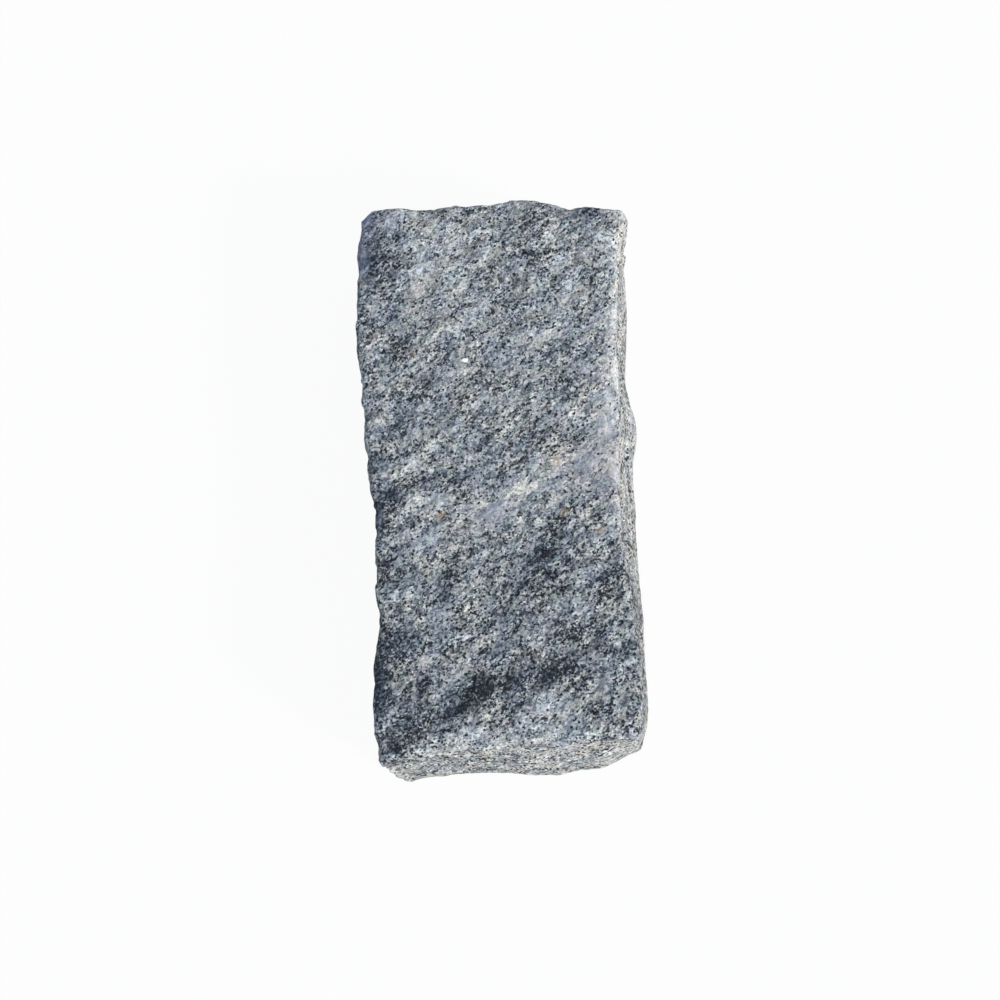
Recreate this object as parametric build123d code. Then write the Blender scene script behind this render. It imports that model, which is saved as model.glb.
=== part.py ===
from build123d import *
import math
import os
import random

# A granite kerb stone, split by hand from the block. It lies on its bed, as in the picture:
# X runs across the stone, Y along it and Z up out of the bed. The origin is under its middle.
# Every size is in millimetres and every angle in degrees.

# The stone as it is ordered
LENGTH = 430.0
WIDTH = 200.0
THICKNESS = 100.0

# How far the split faces rise and fall, and over what distances
FACE_SWELL = 1.0
FLANK_SWELL = 1.3
FLANK_SWELL_LENGTHS = (110.0, 230.0)
FACE_SWELL_LENGTHS = (70.0, 190.0)
SWELLS_PER_FACE = 5

# The stone's own layering crosses the upper face at this angle to X, and the swell follows it
LAYERING = 30.0
LAYERING_SPREAD = 22.0

# A split is known at points this far apart along the stone and up it, and runs on past the block
POINT_SPACING = 18.0
LEVEL_SPACING = 26.0
OVERRUN = 30.0

# How high up the stone its lower outline was taken, as a share of the thickness
LOWER_LEVEL = 0.3

# The plan outline at the upper face and low down. Each pair is a place along the side, as a
# share of its length from the middle, and how far the split wanders out of true there.
LEFT_TOP = [
    (-0.50, -6.0), (-0.38, -1.6), (-0.26, -7.4), (-0.08, -5.8), (0.10, -0.6), (0.30, 5.4),
    (0.39, 2.4), (0.50, -0.4),
]
LEFT_LOW = [
    (-0.50, -5.5), (-0.36, 0.0), (-0.15, -3.0), (0.05, 1.0), (0.25, 4.5), (0.50, 0.0),
]
RIGHT_TOP = [
    (-0.50, 0.5), (-0.37, 3.8), (-0.26, 2.6), (-0.12, -4.6), (0.03, -4.6), (0.20, -3.4),
    (0.34, -0.6), (0.41, 1.6), (0.47, 9.6), (0.50, 10.6),
]
RIGHT_LOW = [
    (-0.50, -12.0), (-0.40, -2.0), (-0.27, -5.0), (-0.12, -7.8), (0.02, -6.4), (0.11, -1.8),
    (0.20, -10.4), (0.34, -6.2), (0.41, -4.0), (0.47, 3.6), (0.50, 4.4),
]
FAR_TOP = [
    (-0.50, 0.0), (-0.38, 3.6), (-0.20, -1.2), (-0.02, 0.4), (0.14, 1.6), (0.29, -9.4),
    (0.40, -14.0), (0.50, -17.4),
]
FAR_LOW = [
    (-0.50, 1.0), (-0.25, 1.0), (0.05, -5.5), (0.30, -9.0), (0.50, -20.0),
]
NEAR_TOP = [
    (-0.50, -1.0), (-0.34, -6.8), (-0.06, -9.8), (0.14, -9.2), (0.32, -12.2), (0.50, -10.6),
]
NEAR_LOW = [
    (-0.50, 2.0), (-0.38, -1.0), (-0.18, -1.6), (0.11, 4.8), (0.19, 1.6), (0.30, 0.4),
    (0.42, -9.6), (0.50, -13.0),
]

# Flakes that the hammer knocked off the upper arrises: place along the side as above, length
# of the scar along the arris, its depth there, and the angle at which it faces up.
LEFT_FLAKES = [
    (-0.47, 34, 4.2, 35), (-0.425, 24, 2.8, 50), (-0.35, 40, 3.2, 30), (-0.27, 52, 3.4, 40),
    (-0.225, 22, 2.6, 60), (-0.15, 44, 2.8, 30), (-0.085, 36, 4.2, 28), (-0.042, 16, 3.0, 25),
    (0.02, 44, 3.8, 35), (0.07, 20, 2.2, 60), (0.115, 40, 3.0, 30), (0.17, 24, 2.4, 30),
    (0.205, 32, 2.6, 55), (0.26, 34, 2.8, 30), (0.345, 38, 3.8, 28), (0.41, 46, 4.4, 38),
    (0.455, 24, 3.0, 60),
]
RIGHT_FLAKES = [
    (-0.475, 26, 3.0, 50), (-0.42, 44, 2.2, 55), (-0.34, 30, 2.8, 35), (-0.29, 60, 2.4, 60),
    (-0.21, 34, 2.8, 40), (-0.16, 48, 2.2, 55), (-0.09, 30, 3.2, 45), (-0.03, 56, 4.2, 62),
    (0.05, 76, 6.2, 64), (0.10, 34, 3.2, 35), (0.155, 54, 4.0, 58), (0.22, 28, 2.6, 40),
    (0.265, 44, 2.2, 60), (0.33, 34, 3.0, 40), (0.375, 46, 2.2, 55), (0.435, 26, 2.6, 35),
    (0.475, 24, 3.0, 50),
]
FAR_FLAKES = [
    (-0.37, 28, 3.6, 30), (-0.29, 20, 2.4, 55), (-0.20, 40, 3.4, 35), (-0.08, 26, 2.2, 60),
    (0.01, 40, 2.6, 30), (0.21, 34, 2.6, 30), (0.30, 26, 2.6, 55), (0.37, 34, 2.4, 35),
]
NEAR_FLAKES = [
    (-0.43, 32, 3.6, 45), (-0.34, 22, 3.0, 30), (-0.26, 48, 4.2, 40), (-0.12, 40, 3.4, 55),
    (-0.03, 58, 5.0, 36), (0.10, 26, 3.0, 60), (0.18, 46, 4.6, 40), (0.28, 24, 3.2, 30),
    (0.35, 40, 3.8, 45), (0.45, 28, 3.0, 55),
]

# Corners broken off the upper face: side and end they are at, length and depth of the scar, and
# how deep at most the scars down the upright corner below it are.
CORNER_BREAKS = [
    (-1, 1, 44, 6.0, 3.0), (1, 1, 18, 2.8, 1.0), (1, -1, 28, 3.6, 3.0), (-1, -1, 18, 2.0, 2.0),
]
CORNER_LENGTHS = (20.0, 42.0)
CORNER_LEAST_DEPTH = 0.8

# Flakes on the arrises that the picture doesn't show: how far apart, how long, how deep and how
# far round from level they face.
FLAKE_SPACING = 34.0
FLAKE_LENGTHS = (22.0, 54.0)
FLAKE_DEPTHS = (2.0, 5.0)
FLAKE_LEANS = (22.0, 65.0)

# Shell-shaped hollows that the splitting left in the upper face and in the bed: place across
# and along it as shares of its size, width and depth.
FACE_HOLLOWS = [
    (-0.52, 0.44, 84, 2.4), (0.54, 0.05, 96, 2.4), (-0.53, -0.06, 64, 1.8),
    (0.12, -0.53, 76, 1.8),
]
BED_HOLLOWS = [
    (-0.46, -0.38, 94, 2.4), (0.48, -0.20, 98, 2.4), (-0.50, 0.17, 104, 2.8),
    (0.46, 0.27, 80, 2.0), (0.05, 0.54, 90, 2.6),
]

# Hollows like them in the flanks and ends: how far apart, how wide and how deep, the share of a
# side's run that they keep to, their heights as shares of the thickness, and how far from a
# corner they stay, as a share of their width.
HOLLOW_SPACING = 46.0
HOLLOW_WIDTHS = (38.0, 68.0)
HOLLOW_DEPTHS = (0.9, 1.7)
HOLLOW_REACH = 0.8
HOLLOW_HEIGHTS = (0.20, 0.75)
HOLLOW_CLEARANCE = 1.0

# How far a scattered scar strays from even spacing, as a share of it
STRAY = 0.3

# Starting numbers for the chance part of each face, and what is added for its flakes and hollows
LEFT_CHANCE = 11
RIGHT_CHANCE = 12
NEAR_CHANCE = 13
FAR_CHANCE = 14
TOP_CHANCE = 15
FLAKE_CHANCE = 10
HOLLOW_CHANCE = 60


def ease(t):
    """A change from 0 to 1 that starts and ends level."""
    return t * t * (3 - 2 * t)


def wander(points, share):
    """How far out of true a split runs at this share of its length, eased between the points."""
    if share <= points[0][0]:
        return points[0][1]
    for (start, first), (end, last) in zip(points, points[1:]):
        if share <= end:
            return first + (last - first) * ease((share - start) / (end - start))
    return points[-1][1]


def swell(u, v, seed, lengths, middle=0.0, spread=90.0):
    """Gentle rise and fall of a split face at u, v, from about -1 to 1, headed as asked."""
    pick = random.Random(seed)
    total = 0.0
    for _ in range(SWELLS_PER_FACE):
        heading = math.radians(pick.uniform(middle - spread, middle + spread))
        distance = pick.uniform(*lengths)
        phase = pick.uniform(0, 2 * math.pi)
        along = u * math.cos(heading) + v * math.sin(heading)
        total += math.sin(2 * math.pi * along / distance + phase)
    return total / math.sqrt(SWELLS_PER_FACE)


def upright(place, run, height, top, low, seed):
    """How far an upright face stands out of true, at a place along its run and a height."""
    rise = (height / THICKNESS - LOWER_LEVEL) / (1 - LOWER_LEVEL)
    lift = ease(min(max(rise, 0.0), 1.0))
    outline = wander(low, place / run) * (1 - lift) + wander(top, place / run) * lift
    return outline + FLANK_SWELL * swell(place, height, seed, FLANK_SWELL_LENGTHS) * (1 - lift)


def on_left(y, z):
    return (-WIDTH / 2 - upright(y, LENGTH, z, LEFT_TOP, LEFT_LOW, LEFT_CHANCE), y, z)


def on_right(y, z):
    return (WIDTH / 2 + upright(y, LENGTH, z, RIGHT_TOP, RIGHT_LOW, RIGHT_CHANCE), y, z)


def on_near(x, z):
    return (x, -LENGTH / 2 - upright(x, WIDTH, z, NEAR_TOP, NEAR_LOW, NEAR_CHANCE), z)


def on_far(x, z):
    return (x, LENGTH / 2 + upright(x, WIDTH, z, FAR_TOP, FAR_LOW, FAR_CHANCE), z)


def on_top(x, y):
    rise = swell(x, y, TOP_CHANCE, FACE_SWELL_LENGTHS, LAYERING + 90, LAYERING_SPREAD)
    return (x, y, THICKNESS + FACE_SWELL * (rise - 1))


def places(low, high, spacing):
    """Places from low to high and past both by the overrun, about one spacing apart."""
    start = low - OVERRUN
    span = high - low + 2 * OVERRUN
    count = max(4, round(span / spacing))
    return [start + span * i / count for i in range(count + 1)]


def waste(rows, outward):
    """What the split takes away: everything outward of the surface through these points."""
    face = Face.make_surface_from_array_of_points(rows)
    return Solid.extrude(face, Vector(*outward) * (WIDTH / 2))


def split_block():
    """The block with each of its five showing faces split to its own surface."""
    along = places(-LENGTH / 2, LENGTH / 2, POINT_SPACING)
    across = places(-WIDTH / 2, WIDTH / 2, POINT_SPACING)
    levels = places(0, THICKNESS, LEVEL_SPACING)
    block = Box(WIDTH + OVERRUN, LENGTH + OVERRUN, THICKNESS + OVERRUN)
    block = Pos(0, 0, (THICKNESS + OVERRUN) / 2) * block
    block -= waste([[on_left(y, z) for z in levels] for y in along], (-1, 0, 0))
    block -= waste([[on_right(y, z) for z in levels] for y in along], (1, 0, 0))
    block -= waste([[on_near(x, z) for z in levels] for x in across], (0, -1, 0))
    block -= waste([[on_far(x, z) for z in levels] for x in across], (0, 1, 0))
    block -= waste([[on_top(x, y) for y in along] for x in across], (0, 0, 1))
    return block


def scar(point, outward, length, depth):
    """The shallow shell-shaped scoop that a flake leaves, as a ball to cut with."""
    radius = (length * length / 4 + depth * depth) / (2 * depth)
    away = Vector(*outward).normalized()
    centre = Vector(*point) + away * (radius - depth)
    # The ball is turned so that its seam and poles stay out of the cut
    return Plane(origin=centre, z_dir=away) * Rot(0, -90, 0) * Sphere(radius)


def facing(away, lean):
    """The direction a scar faces: straight off the side, and up by the lean."""
    level = math.cos(math.radians(lean))
    return (away[0] * level, away[1] * level, math.sin(math.radians(lean)))


def upper_scars(side, away, run, flakes):
    """Scars along one arris of the upper face, where the picture shows them."""
    cuts = []
    for share, length, depth, lean in flakes:
        x, y, _ = side(share * run, THICKNESS)
        cuts.append(scar(on_top(x, y), facing(away, lean), length, depth))
    return cuts


def scattered(run, spacing, seed):
    """Uneven places along a run, about one spacing apart, each with its own random source."""
    pick = random.Random(seed)
    count = max(2, round(run / spacing))
    shares = [(i + pick.uniform(0.5 - STRAY, 0.5 + STRAY)) / count - 0.5 for i in range(count)]
    return [(run * share, pick) for share in shares]


def hidden_scars(side, away, run, seed):
    """Scars along one arris of the bed, and hollows in the side above it."""
    cuts = []
    for place, pick in scattered(run, FLAKE_SPACING, seed + FLAKE_CHANCE):
        outward = facing(away, -pick.uniform(*FLAKE_LEANS))
        length = pick.uniform(*FLAKE_LENGTHS)
        depth = pick.uniform(*FLAKE_DEPTHS)
        cuts.append(scar(side(place, 0), outward, length, depth))
    for place, pick in scattered(run * HOLLOW_REACH, HOLLOW_SPACING, seed + HOLLOW_CHANCE):
        height = THICKNESS * pick.uniform(*HOLLOW_HEIGHTS)
        width = pick.uniform(*HOLLOW_WIDTHS)
        depth = pick.uniform(*HOLLOW_DEPTHS)
        # A hollow keeps off the corners, which its ball would plane away
        if abs(place) + width * HOLLOW_CLEARANCE < run / 2:
            cuts.append(scar(side(place, height), facing(away, 0), width, depth))
    return cuts


def corner_point(across, end, z):
    """The sharp corner between a side and an end, at this height."""
    side = on_left if across < 0 else on_right
    along = on_near if end < 0 else on_far
    _, y, _ = along(across * WIDTH / 2, z)
    x, _, _ = side(y, z)
    return (x, y, z)


def corner_scars(across, end, length, depth, most, seed):
    """The break at one upper corner, and the scars down the upright corner below it."""
    x, y, _ = corner_point(across, end, THICKNESS)
    cuts = [scar(on_top(x, y), (across, end, 1), length, depth)]
    for drop, pick in scattered(THICKNESS, FLAKE_SPACING, seed):
        point = corner_point(across, end, THICKNESS / 2 + drop)
        long = pick.uniform(*CORNER_LENGTHS)
        deep = pick.uniform(CORNER_LEAST_DEPTH, most)
        cuts.append(scar(point, (across, end, 0), long, deep))
    return cuts


def kerb_stone():
    """The whole stone, set over the origin."""
    cuts = []
    for side, away, run, flakes, seed in (
        (on_left, (-1, 0), LENGTH, LEFT_FLAKES, LEFT_CHANCE),
        (on_right, (1, 0), LENGTH, RIGHT_FLAKES, RIGHT_CHANCE),
        (on_near, (0, -1), WIDTH, NEAR_FLAKES, NEAR_CHANCE),
        (on_far, (0, 1), WIDTH, FAR_FLAKES, FAR_CHANCE),
    ):
        cuts += upper_scars(side, away, run, flakes)
        cuts += hidden_scars(side, away, run, seed)
    for seed, corner in enumerate(CORNER_BREAKS):
        cuts += corner_scars(*corner, seed)
    for across, along, width, depth in FACE_HOLLOWS:
        cuts.append(scar(on_top(across * WIDTH, along * LENGTH), (0, 0, 1), width, depth))
    for across, along, width, depth in BED_HOLLOWS:
        cuts.append(scar((across * WIDTH, along * LENGTH, 0), (0, 0, -1), width, depth))
    stone = split_block()
    for cut in cuts:
        stone -= cut
    box = stone.bounding_box()
    middle = (box.min + box.max) / 2
    return Pos(-middle.X, -middle.Y, 0) * stone


os.makedirs("parts", exist_ok=True)
export_step(kerb_stone(), "parts/kerb_stone.step")
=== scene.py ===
import math

import bmesh
import bpy
import numpy as np
from mathutils import Matrix, Vector


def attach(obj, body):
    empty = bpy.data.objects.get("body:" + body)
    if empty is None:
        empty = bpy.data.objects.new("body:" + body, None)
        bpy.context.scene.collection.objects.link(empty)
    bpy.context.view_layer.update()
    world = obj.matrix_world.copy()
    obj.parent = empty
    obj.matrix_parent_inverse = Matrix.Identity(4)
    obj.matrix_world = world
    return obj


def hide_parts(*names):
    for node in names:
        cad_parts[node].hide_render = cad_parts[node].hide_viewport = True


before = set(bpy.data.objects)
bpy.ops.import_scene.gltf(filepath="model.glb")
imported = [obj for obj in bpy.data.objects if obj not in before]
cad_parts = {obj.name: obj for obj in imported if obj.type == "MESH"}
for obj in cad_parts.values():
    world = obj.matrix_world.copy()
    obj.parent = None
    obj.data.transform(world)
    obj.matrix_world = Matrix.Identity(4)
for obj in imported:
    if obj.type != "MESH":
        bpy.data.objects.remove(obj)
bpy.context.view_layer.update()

# The camera
# The stone is photographed from above with a long lens, from a little to its right and nearer
# its near end, so the right flank and the near end just show.
camera_distance = 1.6
lens_mm = 74.9
look_at = Vector((-0.00885, -0.0035, 0.050))
lean_right = math.radians(11.0)
lean_near = math.radians(13.0)
roll = math.radians(-2.0)
film_width_mm = 36.0
film_shift_right = 0.003
film_shift_up = -0.008
farthest_seen = 20.0

towards_camera = Vector((math.sin(lean_right), -math.sin(lean_near), 0.0))
towards_camera.z = math.sqrt(1.0 - towards_camera.length_squared)
level_right = Vector((0.0, 1.0, 0.0)).cross(towards_camera).normalized()
level_up = towards_camera.cross(level_right)
right = level_right * math.cos(roll) + level_up * math.sin(roll)
up = level_up * math.cos(roll) - level_right * math.sin(roll)
camera_data = bpy.data.cameras.new("overhead_camera")
camera_data.lens = lens_mm
camera_data.sensor_width = film_width_mm
camera_data.shift_x = film_shift_right
camera_data.shift_y = film_shift_up
camera_data.clip_end = farthest_seen
camera = bpy.data.objects.new("overhead_camera", camera_data)
turn = Matrix((right, up, towards_camera)).transposed().to_4x4()
camera.matrix_world = Matrix.Translation(look_at + towards_camera * camera_distance) @ turn
bpy.context.scene.collection.objects.link(camera)
bpy.context.scene.camera = camera

# The stone
# A block of grey granite with a marked layering, split by hand along and across it. Nothing is
# dressed: the skin is as it broke, with torn grains, small steps where the split jumped from
# one layer to the next, and bruised, chipped arrises.
net_width = 0.00182
layering_heading = math.radians(34.5)
layering_dip = math.radians(14.0)
to_mm = 1000.0
to_metres = 0.001
# How low on the stone a patch of colour or relief may reach, in millimetres
upper_face_only = 70.0
whole_height = -20.0

# Places on the upper face that are darker or paler than the rest, among them painted shade on the
# facets along the left arris: across and along, half-length and half-width in millimetres, how many
# degrees the length is turned from X, and the change.
tones_and_painted_shades = [
    (-16, -163, 13, 8, 45, -0.30),
    (9, -160, 11, 8, 45, -0.22),
    (42, -150, 16, 8, 35, -0.28),
    (-62, -179, 14, 12, 40, -0.24),
    (-82, -200, 20, 9, 30, -0.24),
    (12, -163, 90, 9, 19, -0.10),
    (41, -56, 21, 7, 58, -0.22),
    (26, -73, 14, 8, 50, -0.16),
    (-4, -61, 12, 8, 60, -0.12),
    (-38, -79, 15, 7, 58, -0.18),
    (20, -85, 50, 26, 30, -0.06),
    (-84, -10, 17, 8, 15, -0.28),
    (-50, -1, 14, 6, 20, -0.14),
    (-88, 178, 13, 22, 10, -0.20),
    (-92, 206, 16, 9, 20, 0.02),
    (-74, 172, 14, 12, 20, -0.12),
    (0, 160, 80, 50, 0, 0.03),
    (20, -150, 70, 40, 0, -0.02),
    (-82, -28, 14, 10, 20, -0.10),
    # Painted shade: these five darken facets along the left arris, which turn away from the lamp
    (-98, -150, 12, 26, 5, -0.34),
    (-96, -90, 12, 20, 0, -0.22),
    (-95, -32, 11, 14, 0, -0.30),
    (-106, 120, 9, 50, 0, -0.10),
    (-100, 30, 8, 60, 0, -0.08),
    (36, 194, 9, 7, 20, -0.28),
    (8, 188, 10, 7, 30, -0.14),
    (77, 198, 9, 5, 20, -0.16),
    (-73, 150, 10, 7, 40, -0.12),
    (-72, 95, 8, 16, 0, -0.14),
    (-80, 38, 14, 6, 55, -0.18),
    (28, 22, 12, 7, 35, -0.18),
    (62, 21, 9, 6, 30, -0.10),
    (20, 134, 16, 6, 25, -0.10),
    (37, 63, 14, 7, 30, -0.10),
    (-80, -128, 20, 14, 20, -0.12),
    (75, -165, 12, 7, 40, -0.08),
    (-14, 126, 22, 12, 30, 0.09),
    (-38, 115, 14, 9, 30, 0.07),
    (45, 108, 28, 5, 24, 0.10),
    (-22, 83, 22, 4, 20, 0.08),
    (-64, 13, 24, 7, 24, 0.13),
    (-37, 40, 10, 8, 30, 0.07),
    (37, 2, 20, 9, 20, 0.10),
    (-3, -29, 34, 10, 28, 0.15),
    (-70, -22, 16, 7, 22, 0.10),
    (68, 0, 22, 16, 30, 0.08),
    (86, 44, 6, 34, -4, 0.18),
    (92, 96, 6, 60, -2, 0.08),
    (70, -62, 12, 4, 35, 0.12),
    (40, -178, 34, 10, 20, 0.08),
    (-40, -196, 20, 7, 20, 0.07),
]
# The same for the right flank and the near end, over their whole height: painted light and shade,
# with the flank darker towards the near end where it turns away from the lamp
flank_and_end_painted_light = [
    (106, -95, 12, 60, 0, -0.28),
    (104, -190, 10, 30, 0, -0.06),
    (106, 150, 12, 50, 0, 0.09),
    (-86, -214, 14, 7, 0, -0.05),
    (60, -218, 40, 9, 0, 0.11),
    (104, 60, 12, 14, 0, 0.05),
]
# Places where the split ran through one grain after another and left the face smooth
calm_places = [
    (68, 0, 20, 14, 30),
    (85, 20, 9, 46, 2),
    (-94, 206, 16, 14, 0),
    (-98, 180, 9, 22, 0),
    (-10, -33, 26, 6, 26),
]
# Facets along the left arris, painted blue-grey: painted shade of faces turned away from the lamp
# and lit by the sky only
left_arris_painted_shade_places = [
    (-95, 208, 15, 14, 0),
    (-99, 182, 7, 20, 0),
    (-95, -34, 9, 15, 0),
    (-99, -155, 7, 20, 0),
]
# Rusty and ochre stains: across, along and size
stains = [
    (46, 4, 5),
    (50, -33, 4),
    (-43, -30, 5),
    (78, -50, 4),
    (-101, 157, 3),
    (-61, 99, 3),
    (8, 176, 3),
    (40, 47, 3),
]
# Painted highlights along the edges of small flakes that catch the light: across, along, length,
# turn and bend
flake_edge_painted_highlights = [
    (83, 168, 18, 88, 2.0),
    (70, 175, 12, 55, -1.5),
    (54, 176, 8, 95, 1.0),
    (54, 127, 13, 122, 0.6),
    (-53, -64, 16, 120, 2.5),
    (62, -60, 14, 35, 0.8),
    (86, 30, 22, 86, -1.5),
    (80, 2, 16, 60, 2.0),
    (-17, -27, 18, 30, 1.2),
]


def value_noise(points, seed):
    """Smooth random values from -1 to 1 at an array of points, with one value for each unit cell."""
    cells = 61
    table = np.random.default_rng(seed).uniform(-1.0, 1.0, (cells, cells, cells))
    cell = np.floor(points).astype(np.int64)
    t = points - cell
    t = t * t * t * (t * (t * 6.0 - 15.0) + 10.0)
    total = np.zeros(len(points))
    for dx, dy, dz in np.ndindex(2, 2, 2):
        weight = (t[:, 0] if dx else 1.0 - t[:, 0]) * (t[:, 1] if dy else 1.0 - t[:, 1])
        weight = weight * (t[:, 2] if dz else 1.0 - t[:, 2])
        corner = (cell + (dx, dy, dz)) % cells
        total += weight * table[corner[:, 0], corner[:, 1], corner[:, 2]]
    return total


def facets(points, seed):
    """Heights of flat facets broken at chance angles, with one facet about each unit cell."""
    cells = 31
    pick = np.random.default_rng(seed)
    middles = pick.uniform(0.0, 1.0, (cells, cells, cells, 3))
    slopes = pick.uniform(-1.0, 1.0, (cells, cells, cells, 3))
    cell = np.floor(points).astype(np.int64)
    nearest = np.full(len(points), np.inf)
    height = np.zeros(len(points))
    for step in np.ndindex(3, 3, 3):
        here = cell + step - 1
        x, y, z = (here % cells).T
        away = points - here - middles[x, y, z]
        distance = (away**2).sum(axis=1)
        closer = distance < nearest
        nearest[closer] = distance[closer]
        height[closer] = (away * slopes[x, y, z]).sum(axis=1)[closer]
    return height


def along_layers(points):
    """Points turned so that X runs along the layering's streaks and Z stands across the layers."""
    turn = Matrix.Rotation(layering_heading, 3, "Z") @ Matrix.Rotation(layering_dip, 3, "X")
    return points @ np.array(turn)


def grown_skin(solid):
    """The solid's closed skin as an even net of small faces."""
    same_place = 1e-6
    copy = bpy.data.objects.new("raw_skin", solid.data.copy())
    bpy.context.scene.collection.objects.link(copy)
    joined = bmesh.new()
    joined.from_mesh(copy.data)
    bmesh.ops.remove_doubles(joined, verts=joined.verts, dist=same_place)
    joined.to_mesh(copy.data)
    joined.free()
    net = copy.modifiers.new("net", "REMESH")
    net.mode = "VOXEL"
    net.voxel_size = net_width
    graph = bpy.context.evaluated_depsgraph_get()
    mesh = bpy.data.meshes.new_from_object(copy.evaluated_get(graph))
    bpy.data.objects.remove(copy)
    return mesh


def values_of(kind, name, width):
    """The values of every vertex, edge, face or corner of the mesh, one row of this width each."""
    whole = name in ("vertices", "vertex_index", "loop_start", "loop_total")
    flat = np.empty(len(kind) * width, dtype=np.int32 if whole else np.float32)
    kind.foreach_get(name, flat)
    return flat.reshape(-1, width).astype(np.int64 if whole else np.float64)


def settled(values, edges, times):
    """Each vertex's value replaced by the mean of its neighbours' values, this many times."""
    degree = np.bincount(edges.ravel(), minlength=len(values))[:, None].astype(float)
    for _ in range(times):
        total = np.zeros_like(values)
        np.add.at(total, edges[:, 0], values[edges[:, 1]])
        np.add.at(total, edges[:, 1], values[edges[:, 0]])
        values = total / degree
    return values


def patch_at(points, across, along, length, width, turned, lowest=upper_face_only):
    """A soft oval patch above some height, 1 in its middle: on the upper face unless said."""
    falloff = 0.8
    fade = 20.0
    cos, sin = math.cos(math.radians(turned)), math.sin(math.radians(turned))
    x, y = points[:, 0] - across, points[:, 1] - along
    reach = ((x * cos + y * sin) / length) ** 2 + ((y * cos - x * sin) / width) ** 2
    return np.exp(-falloff * reach) * np.clip((points[:, 2] - lowest) / fade, 0.0, 1.0)


# The skin before it is torn, with the stairs of its even net smoothed away
stairs_left = 0.3
stairs_smoothed = 0.7
skin = grown_skin(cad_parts["kerb_stone"])
skin.name = "kerb_stone_skin"
edges = values_of(skin.edges, "vertices", 2)
stepped_place = values_of(skin.vertices, "co", 3)
smooth_place = stepped_place * stairs_left + settled(stepped_place, edges, 2) * stairs_smoothed
skin.vertices.foreach_set("co", smooth_place.ravel())
skin.update()
outward = values_of(skin.vertices, "normal", 3)
place_mm = smooth_place * to_mm

# How sharply the skin turns outward, 1 along the arrises and 0 on the open faces, told by how
# many millimetres each place stands proud of the places around it
least_proud = 0.10
proud_range = 0.70
evened_place = settled(smooth_place, edges, 5)
proud = ((smooth_place - evened_place) * outward).sum(axis=1) * to_mm
arris = settled(np.clip((proud - least_proud) / proud_range, 0.0, 1.0)[:, None], edges, 4)[:, 0]

# The torn relief in millimetres, with sizes along the streaks, across them and through the
# layers, which sway a little: a long ripple, facets large and small where the grains tore along
# planes of their own, and sharp little steps where the split changed layer.
sway_size = 28.0
sway_reach = (3.0, 5.0, 2.0)
ripple_size = (22.0, 11.0, 10.0)
ripple_height = 0.50
torn_size = (19.0, 11.0, 10.0)
torn_height = 1.25
plucked_size = (7.0, 4.8, 4.6)
plucked_height = 0.85
crumb_size = (3.6, 2.8, 2.8)
crumb_height = 0.30
shelf_size = (30.0, 15.0, 12.0)
shelf_count = 2.8
step_sharpness = 5.0
step_height = 0.28
layers = along_layers(smooth_place) * to_mm
layers = layers + value_noise(layers / sway_size, seed=1)[:, None] * sway_reach
ripple = value_noise(layers / ripple_size, seed=2) * ripple_height
torn = facets(layers / torn_size, seed=3) * torn_height
plucked = facets(layers / plucked_size, seed=4) * plucked_height
plucked = plucked + value_noise(layers / crumb_size, seed=5) * crumb_height
shelf = value_noise(layers / shelf_size, seed=6) * shelf_count
step = np.floor(shelf) + np.clip((shelf - np.floor(shelf)) * step_sharpness, 0.0, 1.0)

# Chips along the arrises, a few large and more small
chip_size = (13.0, 10.0, 10.0)
chip_slope = 2.6
deepest_chip = 1.8
nick_size = (6.0, 5.0, 5.0)
nick_slope = 1.4
deepest_nick = 0.6
chip = np.clip(facets(layers / chip_size, seed=8) * chip_slope, 0.0, deepest_chip)
chip = chip + np.clip(facets(layers / nick_size, seed=9) * nick_slope, 0.0, deepest_nick)

# Ledges on the upright faces only, where the split ran across the layers
lean_falloff = 1.4
ledge_size = (44.0, 34.0, 22.0)
ledge_height = 2.8
upright = np.clip(1.0 - np.abs(outward[:, 2]) * lean_falloff, 0.0, 1.0)
ledge = facets(layers / ledge_size, seed=10) * ledge_height * upright

# The whole relief, quieter in the calm places, along the arrises and towards the bed
sunk = 0.3
deepest = -2.8
highest = 1.3
plucked_calmed = 0.7
relief_calmed = 0.35
relief_worn = 0.4
chips_calmed = 0.8
bed_fade = 24.0
least_by_bed = 0.35
calm = sum(patch_at(place_mm, *place) for place in calm_places)
calm = np.clip(calm, 0.0, 1.0)
# Painted shade: where the facets along the left arris are tinted blue
painted_shade_blue = sum(patch_at(place_mm, *place) for place in left_arris_painted_shade_places)
height = ripple + torn + ledge + plucked * (1.0 - plucked_calmed * calm) + step * step_height - sunk
height = height * (1.0 - relief_calmed * calm) * (1.0 - relief_worn * arris)
height = height - arris * chip * (1.0 - chips_calmed * calm)
height = np.clip(height, deepest, highest)
height = height * np.clip(place_mm[:, 2] / bed_fade, least_by_bed, 1.0)

# The far right corner stands fuller halfway up, and has lost a chip at its foot
foot_top = 32.0
foot_fade = 16.0
foot_chip_place = (97, 190, 8, 14, 0)
foot_chip_depth = 3.0
foot_chip_inward = 2.2
full_corner_place = (102, 196, 9, 16, 0)
full_corner_lowest = 20.0
full_corner_height = 2.4
foot = np.clip((foot_top - place_mm[:, 2]) / foot_fade, 0.0, 1.0)
foot_chip = foot * patch_at(place_mm, *foot_chip_place, lowest=whole_height)
full_corner = patch_at(place_mm, *full_corner_place, lowest=full_corner_lowest)
height = height - foot_chip_depth * foot_chip
height = height + full_corner_height * (1.0 - foot) * full_corner

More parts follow.
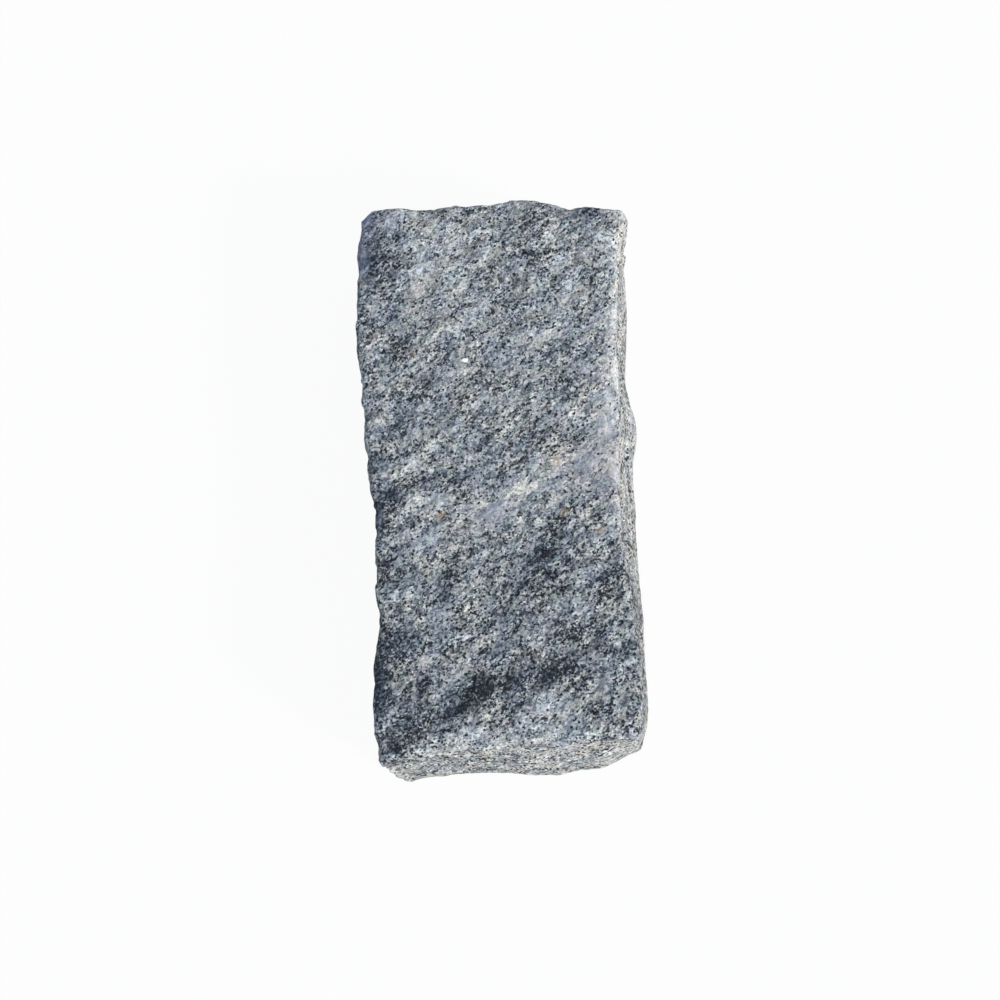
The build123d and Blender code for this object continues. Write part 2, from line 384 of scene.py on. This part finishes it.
# The relief is evened once, so that it has no spikes, and the bed only ever goes inward
spikes_left = 0.4
spikes_evened = 0.6
bed_facing = -0.6
bed_relief = 0.5
height = height * spikes_left + settled(height[:, None], edges, 1)[:, 0] * spikes_evened
on_bed = outward[:, 2] < bed_facing
height = np.where(on_bed, -np.abs(height) * bed_relief, height)
place = smooth_place + outward * (height * to_metres)[:, None]
place[:, 0] -= foot_chip_inward * to_metres * foot_chip
place[:, 2] = np.maximum(place[:, 2], 0.0)
skin.vertices.foreach_set("co", place.ravel())
skin.update()

# What the finish has to know about each place
stain_width = 0.7
stain_turn = 35
# The tone, which carries the painted shade along the left arris and the painted light and shade of
# the flank and end
tone = sum(change * patch_at(place_mm, *spot) for *spot, change in tones_and_painted_shades)
tone += sum(change * patch_at(place_mm, *spot, lowest=whole_height) for *spot, change in flank_and_end_painted_light)
stain = sum(patch_at(place_mm, x, y, size, size * stain_width, stain_turn) for x, y, size in stains)
known_values = {
    "tone": tone,
    "arris": arris,
    "calm": calm,
    "painted_shade_blue": painted_shade_blue,
    "upright": upright,
    "stain": stain,
}
for name, values in known_values.items():
    kept = skin.attributes.new(name, "FLOAT", "POINT")
    kept.data.foreach_set("value", values.astype(np.float32))

# The skin's six sides laid out flat side by side, in millimetres on a square sheet: the way
# each side faces, which of its axes run along and up the sheet, and where its corner lies.
sheet = 668.0
sides = [
    ((0, 0, 1), 0, 1, 4, 4),
    ((0, 0, -1), 0, 1, 226, 4),
    ((1, 0, 0), 1, 2, 4, 450),
    ((-1, 0, 0), 1, 2, 4, 558),
    ((0, -1, 0), 2, 0, 450, 450),
    ((0, 1, 0), 2, 0, 558, 450),
]
loop_vertex = values_of(skin.loops, "vertex_index", 1)[:, 0]
loop_start = values_of(skin.polygons, "loop_start", 1)[:, 0]
loop_total = values_of(skin.polygons, "loop_total", 1)[:, 0]
facing = np.add.reduceat(outward[loop_vertex], loop_start)
side_of_face = np.argmax(facing @ np.array([side[0] for side in sides]).T, axis=1)
side_of_loop = np.repeat(side_of_face, loop_total)
from_corner = (place - place.min(axis=0))[loop_vertex] * to_mm
flat_place = np.empty((len(loop_vertex), 2))
for number, (_, along_axis, up_axis, left, bottom) in enumerate(sides):
    these = side_of_loop == number
    flat_place[these] = from_corner[these][:, [along_axis, up_axis]] + (left, bottom)
sheet_map = skin.uv_layers.new(name="OFBake")
sheet_map.uv.foreach_set("vector", (flat_place / sheet).astype(np.float32).ravel())

kerb_stone = bpy.data.objects.new("riven_kerb_stone", skin)
bpy.context.scene.collection.objects.link(kerb_stone)
for face in skin.polygons:
    face.use_smooth = True

# The granite's colours, from the darkest ground mass to the palest
ground_colours = [
    (0.10, (0.022, 0.029, 0.042)),
    (0.28, (0.084, 0.100, 0.131)),
    (0.42, (0.190, 0.210, 0.246)),
    (0.56, (0.332, 0.355, 0.388)),
    (0.72, (0.510, 0.530, 0.555)),
    (0.98, (0.79, 0.81, 0.825)),
]
black_mica = (0.014, 0.018, 0.021)
white_feldspar = (0.66, 0.67, 0.67)
warm_feldspar = (0.50, 0.45, 0.36)
rust = (0.42, 0.31, 0.18)
painted_glint_white = (0.95, 0.95, 0.95)
painted_highlight_pale = (0.74, 0.73, 0.70)
# Slight casts that the colours are multiplied by
cool_cast = (0.95, 1.0, 1.06)
cream_cast = (1.05, 1.01, 0.93)
green_cast = (0.97, 1.02, 0.97)
rose_cast = (1.03, 0.98, 1.02)
calm_cast = (1.06, 1.0, 1.03)
# Partly painted sunlight: the warm cast of the upright sides, partly the split faces' own colour and
# partly the warm lamp on the flank and end
upright_warm_painted_light = (1.06, 1.0, 0.94)
# Painted shade: the blue cast of the facets along the left arris
painted_sky_shade_cast = (0.89, 0.96, 1.09)
# Sizes in millimetres, along the streaks, across them and through the layers
band_size = (150, 40, 24)
patch_size = (30, 15, 12)
streak_size = (10.0, 4.6, 5.2)
grit_size = (2.1, 1.8, 1.8)
warmth_size = (20, 13, 12)
blush_size = (9, 6.5, 7)
liveliness_size = (19, 12, 12)
big_grain_size = (4.0, 3.1, 3.1)
small_grain_size = (1.35, 1.2, 1.4)
mica_size = (2.15, 1.75, 2.2)
flake_line = 0.7
# A painted glint on the one large crystal, a white spot where it catches the light, in metres
painted_glint_place = (-0.020, 0.089, 0.099)
painted_glint_reach = (0.0024, 0.0017, 0.008)


def granite():
    """The granite's finish: mica flecks, quartz and feldspar grains, bands and torn relief, with
    painted shade, a painted glint and painted highlights.
    """
    material = bpy.data.materials.new("split_granite")
    material.use_nodes = True
    tree = material.node_tree
    tree.nodes.clear()

    def node(kind, **values):
        made = tree.nodes.new(kind)
        for name, value in values.items():
            if name in made.inputs:
                made.inputs[name].default_value = value
            else:
                setattr(made, name, value)
        return made

    def feed(socket, value):
        if isinstance(value, (int, float)):
            socket.default_value = value
        elif isinstance(value, tuple):
            socket.default_value = (*value, 1.0) if len(socket.default_value) == 4 else value
        else:
            tree.links.new(value, socket)

    def reckon(operation, first, second=None, third=None):
        made = node("ShaderNodeMath", operation=operation)
        for i, value in enumerate((first, second, third)):
            if value is not None:
                feed(made.inputs[i], value)
        return made.outputs[0]

    def vector(operation, first, second=None, scale=None):
        made = node("ShaderNodeVectorMath", operation=operation)
        feed(made.inputs[0], first)
        if second is not None:
            feed(made.inputs[1], second)
        if scale is not None:
            feed(made.inputs["Scale"], scale)
        return made.outputs["Value" if operation == "LENGTH" else "Vector"]

    def centred(value, weight, onto):
        """Adds a value's swing about one half to another value, at this weight."""
        return reckon("MULTIPLY_ADD", reckon("SUBTRACT", value, 0.5), weight, onto)

    def soft_step(value, low, high, to_low=0.0, to_high=1.0):
        made = node("ShaderNodeMapRange", interpolation_type="SMOOTHSTEP")
        feed(made.inputs["Value"], value)
        ends = {"From Min": low, "From Max": high, "To Min": to_low, "To Max": to_high}
        for name, number in ends.items():
            made.inputs[name].default_value = number
        return made.outputs["Result"]

    def mix_colour(share, first, second, way="MIX"):
        made = node("ShaderNodeMix", data_type="RGBA", blend_type=way)
        feed(made.inputs["Factor"], share)
        feed(next(i for i in made.inputs if i.name == "A" and i.type == "RGBA"), first)
        feed(next(i for i in made.inputs if i.name == "B" and i.type == "RGBA"), second)
        return next(o for o in made.outputs if o.type == "RGBA")

    def known(name):
        return node("ShaderNodeAttribute", attribute_name=name).outputs["Fac"]

    stone_place = node("ShaderNodeTexCoord").outputs["Object"]

    def shaken(scale, amount, around):
        """Places pushed about at random, by up to half this many metres."""
        made = node("ShaderNodeTexNoise", Scale=scale, Detail=1.0)
        feed(made.inputs["Vector"], stone_place)
        push = vector("SUBTRACT", made.outputs["Color"], (0.5, 0.5, 0.5))
        return vector("ADD", around, vector("SCALE", push, scale=amount))

    # The grains' edges are uneven, and the layers sway
    uneven = shaken(scale=800.0, amount=0.0008, around=stone_place)
    swayed = shaken(scale=26.0, amount=0.012, around=uneven)

    def layered(size_mm, around):
        """Places in the layering's own directions, in grains of this many millimetres."""
        made = node("ShaderNodeMapping", vector_type="TEXTURE")
        made.inputs["Rotation"].default_value = (layering_dip, 0.0, layering_heading)
        made.inputs["Scale"].default_value = tuple(v * to_metres for v in size_mm)
        feed(made.inputs["Vector"], around)
        return made.outputs[0]

    def noise(size_mm, detail, roughness=0.5):
        made = node("ShaderNodeTexNoise", Scale=1.0, Detail=detail, Roughness=roughness)
        feed(made.inputs["Vector"], layered(size_mm, swayed))
        return made.outputs["Fac"]

    def grains(size_mm):
        """Grains of this size: each one's own random colour and the distance from its middle."""
        made = node("ShaderNodeTexVoronoi", Scale=1.0)
        feed(made.inputs["Vector"], layered(size_mm, uneven))
        parts = node("ShaderNodeSeparateColor")
        feed(parts.inputs[0], made.outputs["Color"])
        return made.outputs["Color"], parts.outputs, made.outputs["Distance"]

    tone, arris, calm, painted_shade_blue, upright, stain = (known(name) for name in known_values)
    band = noise(band_size, 3.0, 0.55)
    patch = noise(patch_size, 3.0, 0.6)
    streak = noise(streak_size, 4.0, 0.62)
    grit = noise(grit_size, 1.0)
    warmth = noise(warmth_size, 2.0)
    blush = noise(blush_size, 2.0)
    liveliness = noise(liveliness_size, 1.0)
    big_colour, big, big_reach = grains(big_grain_size)
    small_colour, small, _ = grains(small_grain_size)
    _, mica, mica_reach = grains(mica_size)

    # How pale the ground mass is, from the bands down to the single grains
    middle_tone = 0.53
    band_weight = 0.42
    patch_weight = 0.62
    streak_weight = 0.85
    grit_weight = 0.40
    big_grain_weight = 0.22
    small_grain_weight = 0.46
    bruised_arris = 0.13
    upright_paler_painted_light = 0.065
    calm_quieter = -0.45
    # The tone attribute brings its painted shade and light into the ground
    ground_tone = centred(patch, patch_weight, reckon("ADD", tone, middle_tone))
    ground_tone = centred(band, band_weight, ground_tone)
    lively = soft_step(liveliness, 0.25, 0.75, 0.70, 1.30)
    lively = reckon("MULTIPLY_ADD", calm, calm_quieter, lively)
    fine = centred(streak, streak_weight, centred(grit, grit_weight, 0.0))
    fine = centred(big[0], big_grain_weight, centred(small[0], small_grain_weight, fine))
    shade = reckon("MULTIPLY_ADD", fine, lively, ground_tone)
    shade = reckon("MULTIPLY_ADD", arris, bruised_arris, shade)
    # The upright split faces made paler: partly their own colour, partly painted light of the flank
    # and end that face the lamp
    shade = reckon("MULTIPLY_ADD", upright, upright_paler_painted_light, shade)
    ground = node("ShaderNodeValToRGB")
    feed(ground.inputs[0], shade)
    stops = ground.color_ramp.elements
    for end in (0, -1):
        stops[end].position = ground_colours[end][0]
        stops[end].color = (*ground_colours[end][1], 1)
    for at, ground_colour in ground_colours[1:-1]:
        stops.new(at).color = (*ground_colour, 1)
    colour = ground.outputs[0]

    # White feldspar and the odd warm one
    feldspar_share = 0.45
    warm_share = 0.22
    white = reckon("MULTIPLY", soft_step(big[1], 0.80, 0.84), soft_step(big_reach, 0.60, 0.45))
    white = reckon("MULTIPLY", white, soft_step(shade, 0.25, 0.50))
    colour = mix_colour(reckon("MULTIPLY", white, feldspar_share), colour, white_feldspar)
    warm = reckon("MULTIPLY", soft_step(big[2], 0.90, 0.93), soft_step(shade, 0.40, 0.55))
    colour = mix_colour(reckon("MULTIPLY", warm, warm_share), colour, warm_feldspar)

    # Slight casts: cream to cool, green to rose, the calm places' own cast, the upright sides' warm
    # cast, which is partly painted sunlight, and the painted blue shade of the facets along the left
    # arris
    wandering_share = 0.9
    placed_share = 0.8
    cream = mix_colour(soft_step(warmth, 0.30, 0.70), cool_cast, cream_cast)
    colour = mix_colour(wandering_share, colour, cream, "MULTIPLY")
    rosy = mix_colour(soft_step(blush, 0.30, 0.70), green_cast, rose_cast)
    colour = mix_colour(wandering_share, colour, rosy, "MULTIPLY")
    colour = mix_colour(reckon("MULTIPLY", calm, placed_share), colour, calm_cast, "MULTIPLY")
    # Partly painted sunlight: the upright sides given a warm cast
    colour = mix_colour(reckon("MULTIPLY", upright, placed_share), colour, upright_warm_painted_light, "MULTIPLY")
    # Painted shade: the facets along the left arris tinted blue
    colour = mix_colour(painted_shade_blue, colour, painted_sky_shade_cast, "MULTIPLY")

    # Black mica, thickest in the dark bands, in ragged flecks
    mica_everywhere = 0.16
    mica_by_tone = 0.70
    least_mica = 0.03
    mica_on_upright = 0.10
    mica_on_calm = -0.35
    mica_raggedness = 1.1
    mica_cover = 0.95
    plenty = reckon("SUBTRACT", 0.5, ground_tone)
    plenty = reckon("MULTIPLY_ADD", plenty, mica_by_tone, mica_everywhere)
    plenty = reckon("MAXIMUM", plenty, least_mica)
    plenty = reckon("MULTIPLY_ADD", upright, mica_on_upright, plenty)
    plenty = reckon("MULTIPLY", plenty, reckon("MULTIPLY_ADD", calm, mica_on_calm, lively))
    is_mica = soft_step(reckon("SUBTRACT", plenty, mica[0]), -0.01, 0.01)
    ragged_reach = centred(grit, mica_raggedness, mica_reach)
    is_mica = reckon("MULTIPLY", is_mica, soft_step(ragged_reach, 0.72, 0.56))
    colour = mix_colour(reckon("MULTIPLY", is_mica, mica_cover), colour, black_mica)

    # Ochre and rust stains, a painted glint on the one large crystal, and painted highlights along
    # the edges of small flakes
    stain_cover = 0.60
    painted_highlight_cover = 0.70
    stained = reckon("MULTIPLY", soft_step(stain, 0.15, 0.7), soft_step(grit, 0.35, 0.60))
    colour = mix_colour(reckon("MULTIPLY", stained, stain_cover), colour, rust)
    painted_glint_spot = node("ShaderNodeMapping", vector_type="TEXTURE")
    painted_glint_spot.inputs["Location"].default_value = painted_glint_place
    painted_glint_spot.inputs["Scale"].default_value = painted_glint_reach
    feed(painted_glint_spot.inputs["Vector"], uneven)
    painted_glint = soft_step(vector("LENGTH", painted_glint_spot.outputs[0]), 1.1, 0.8)
    # Painted glint: a white spot on the one large crystal
    colour = mix_colour(painted_glint, colour, painted_glint_white)
    for across, along, length, turned, bend in flake_edge_painted_highlights:
        made = node("ShaderNodeMapping", vector_type="TEXTURE")
        made.inputs["Location"].default_value = (across * to_metres, along * to_metres, 0.0)
        made.inputs["Rotation"].default_value = (0.0, 0.0, math.radians(turned))
        half_length = length * to_metres / 2
        made.inputs["Scale"].default_value = (half_length, flake_line * to_metres, 1.0)
        feed(made.inputs["Vector"], swayed)
        apart = node("ShaderNodeSeparateXYZ")
        feed(apart.inputs[0], made.outputs[0])
        run = reckon("MULTIPLY", apart.outputs[0], apart.outputs[0])
        off = reckon("MULTIPLY_ADD", run, bend / flake_line, apart.outputs[1])
        off = reckon("ABSOLUTE", off)
        line = reckon("MULTIPLY", soft_step(off, 1.3, 0.4), soft_step(run, 1.0, 0.5))
        on_top = soft_step(apart.outputs[2], 0.07, 0.08)
        line = reckon("MULTIPLY", line, on_top)
        # Painted highlight along this flake edge
        colour = mix_colour(reckon("MULTIPLY", line, painted_highlight_cover), colour, painted_highlight_pale)

    material_end = node("ShaderNodeOutputMaterial")
    shader = node("ShaderNodeBsdfPrincipled", **{"Specular IOR Level": 0.3})
    feed(shader.inputs["Base Color"], colour)
    feed(shader.inputs["Roughness"], soft_step(small[2], 0.90, 0.98, 0.80, 0.55))
    feed(material_end.inputs[0], shader.outputs[0])

    # Torn relief between the grains, and each grain broken along a plane of its own
    streak_relief = 1.3
    grit_relief = 0.7
    big_grain_tilt = 0.30
    small_grain_tilt = 0.42
    bump = node("ShaderNodeBump", Strength=0.8, Distance=0.0011)
    relief = reckon("MULTIPLY_ADD", streak, streak_relief, reckon("MULTIPLY", grit, grit_relief))
    feed(bump.inputs["Height"], relief)
    tilt = vector("SUBTRACT", big_colour, (0.5, 0.5, 0.5))
    tilt = vector("SCALE", tilt, scale=big_grain_tilt)
    small_tilt = vector("SUBTRACT", small_colour, (0.5, 0.5, 0.5))
    small_tilt = vector("SCALE", small_tilt, scale=small_grain_tilt)
    tilt = vector("SCALE", vector("ADD", tilt, small_tilt), scale=lively)
    tilted = vector("NORMALIZE", vector("ADD", bump.outputs[0], tilt))
    feed(shader.inputs["Normal"], tilted)
    return material


skin.materials.clear()
skin.materials.append(granite())
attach(kerb_stone, "root")
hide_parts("kerb_stone")

# The floor and the light
# A plain white floor under plain soft daylight: a broad lamp low on the right and towards the
# near end, which picks out that flank and end, and a cooler even light from all round.
floor_reach = 4.0
floor_gap = 0.0004
floor_paint = (0.88, 0.88, 0.88, 1)
floor_glow = 1.0
shadow_lifted = 0.94
floor_mesh = bpy.data.meshes.new("floor")
corners = [(x * floor_reach, y * floor_reach, 0) for x, y in ((-1, -1), (1, -1), (1, 1), (-1, 1))]
floor_mesh.from_pydata(corners, [], [(0, 1, 2, 3)])
floor = bpy.data.objects.new("floor", floor_mesh)
floor.location.z = -floor_gap
bpy.context.scene.collection.objects.link(floor)
white_floor = bpy.data.materials.new("white_floor")
white_floor.use_nodes = True
paint = white_floor.node_tree
paint.nodes.clear()
floor_end = paint.nodes.new("ShaderNodeOutputMaterial")
floor_mix = paint.nodes.new("ShaderNodeMixShader")
floor_matt = paint.nodes.new("ShaderNodeBsdfDiffuse")
floor_matt.inputs["Color"].default_value = floor_paint
floor_white = paint.nodes.new("ShaderNodeEmission")
floor_white.inputs["Strength"].default_value = floor_glow
floor_rays = paint.nodes.new("ShaderNodeLightPath")
seen = floor_rays.outputs["Is Camera Ray"]
for ray in ("Is Glossy Ray", "Is Transmission Ray"):
    added = paint.nodes.new("ShaderNodeMath")
    added.operation = "ADD"
    added.use_clamp = True
    paint.links.new(seen, added.inputs[0])
    paint.links.new(floor_rays.outputs[ray], added.inputs[1])
    seen = added.outputs[0]
lift = paint.nodes.new("ShaderNodeMath")
lift.operation = "MULTIPLY"
lift.inputs[1].default_value = shadow_lifted
paint.links.new(seen, lift.inputs[0])
paint.links.new(lift.outputs[0], floor_mix.inputs[0])
paint.links.new(floor_matt.outputs[0], floor_mix.inputs[1])
paint.links.new(floor_white.outputs[0], floor_mix.inputs[2])
paint.links.new(floor_mix.outputs[0], floor_end.inputs[0])
floor_mesh.materials.append(white_floor)

lamp_strength = 2.8
lamp_breadth = math.radians(12.0)
lamp_colour = (1.0, 0.965, 0.90)
towards_lamp = Vector((0.78, -0.46, 0.46))
lamp_data = bpy.data.lights.new("low_daylight", "SUN")
lamp_data.energy = lamp_strength
lamp_data.angle = lamp_breadth
lamp_data.color = lamp_colour
lamp = bpy.data.objects.new("low_daylight", lamp_data)
lamp.rotation_euler = towards_lamp.to_track_quat("Z", "Y").to_euler()
bpy.context.scene.collection.objects.link(lamp)

sky_colour = (0.79, 0.89, 1.0, 1)
sky_strength = 0.52
backdrop_white = (0.987, 0.987, 0.987, 1)
sky = bpy.data.worlds.new("even_sky")
bpy.context.scene.world = sky
sky.use_nodes = True
air = sky.node_tree
air.nodes.clear()
sky_end = air.nodes.new("ShaderNodeOutputWorld")
sky_light = air.nodes.new("ShaderNodeBackground")
sky_light.inputs["Color"].default_value = sky_colour
sky_light.inputs["Strength"].default_value = sky_strength
sky_white = air.nodes.new("ShaderNodeBackground")
sky_white.inputs["Color"].default_value = backdrop_white
sky_mix = air.nodes.new("ShaderNodeMixShader")
sky_rays = air.nodes.new("ShaderNodeLightPath")
air.links.new(sky_rays.outputs["Is Camera Ray"], sky_mix.inputs[0])
air.links.new(sky_light.outputs[0], sky_mix.inputs[1])
air.links.new(sky_white.outputs[0], sky_mix.inputs[2])
air.links.new(sky_mix.outputs[0], sky_end.inputs[0])

bpy.context.scene.view_settings.view_transform = "Standard"
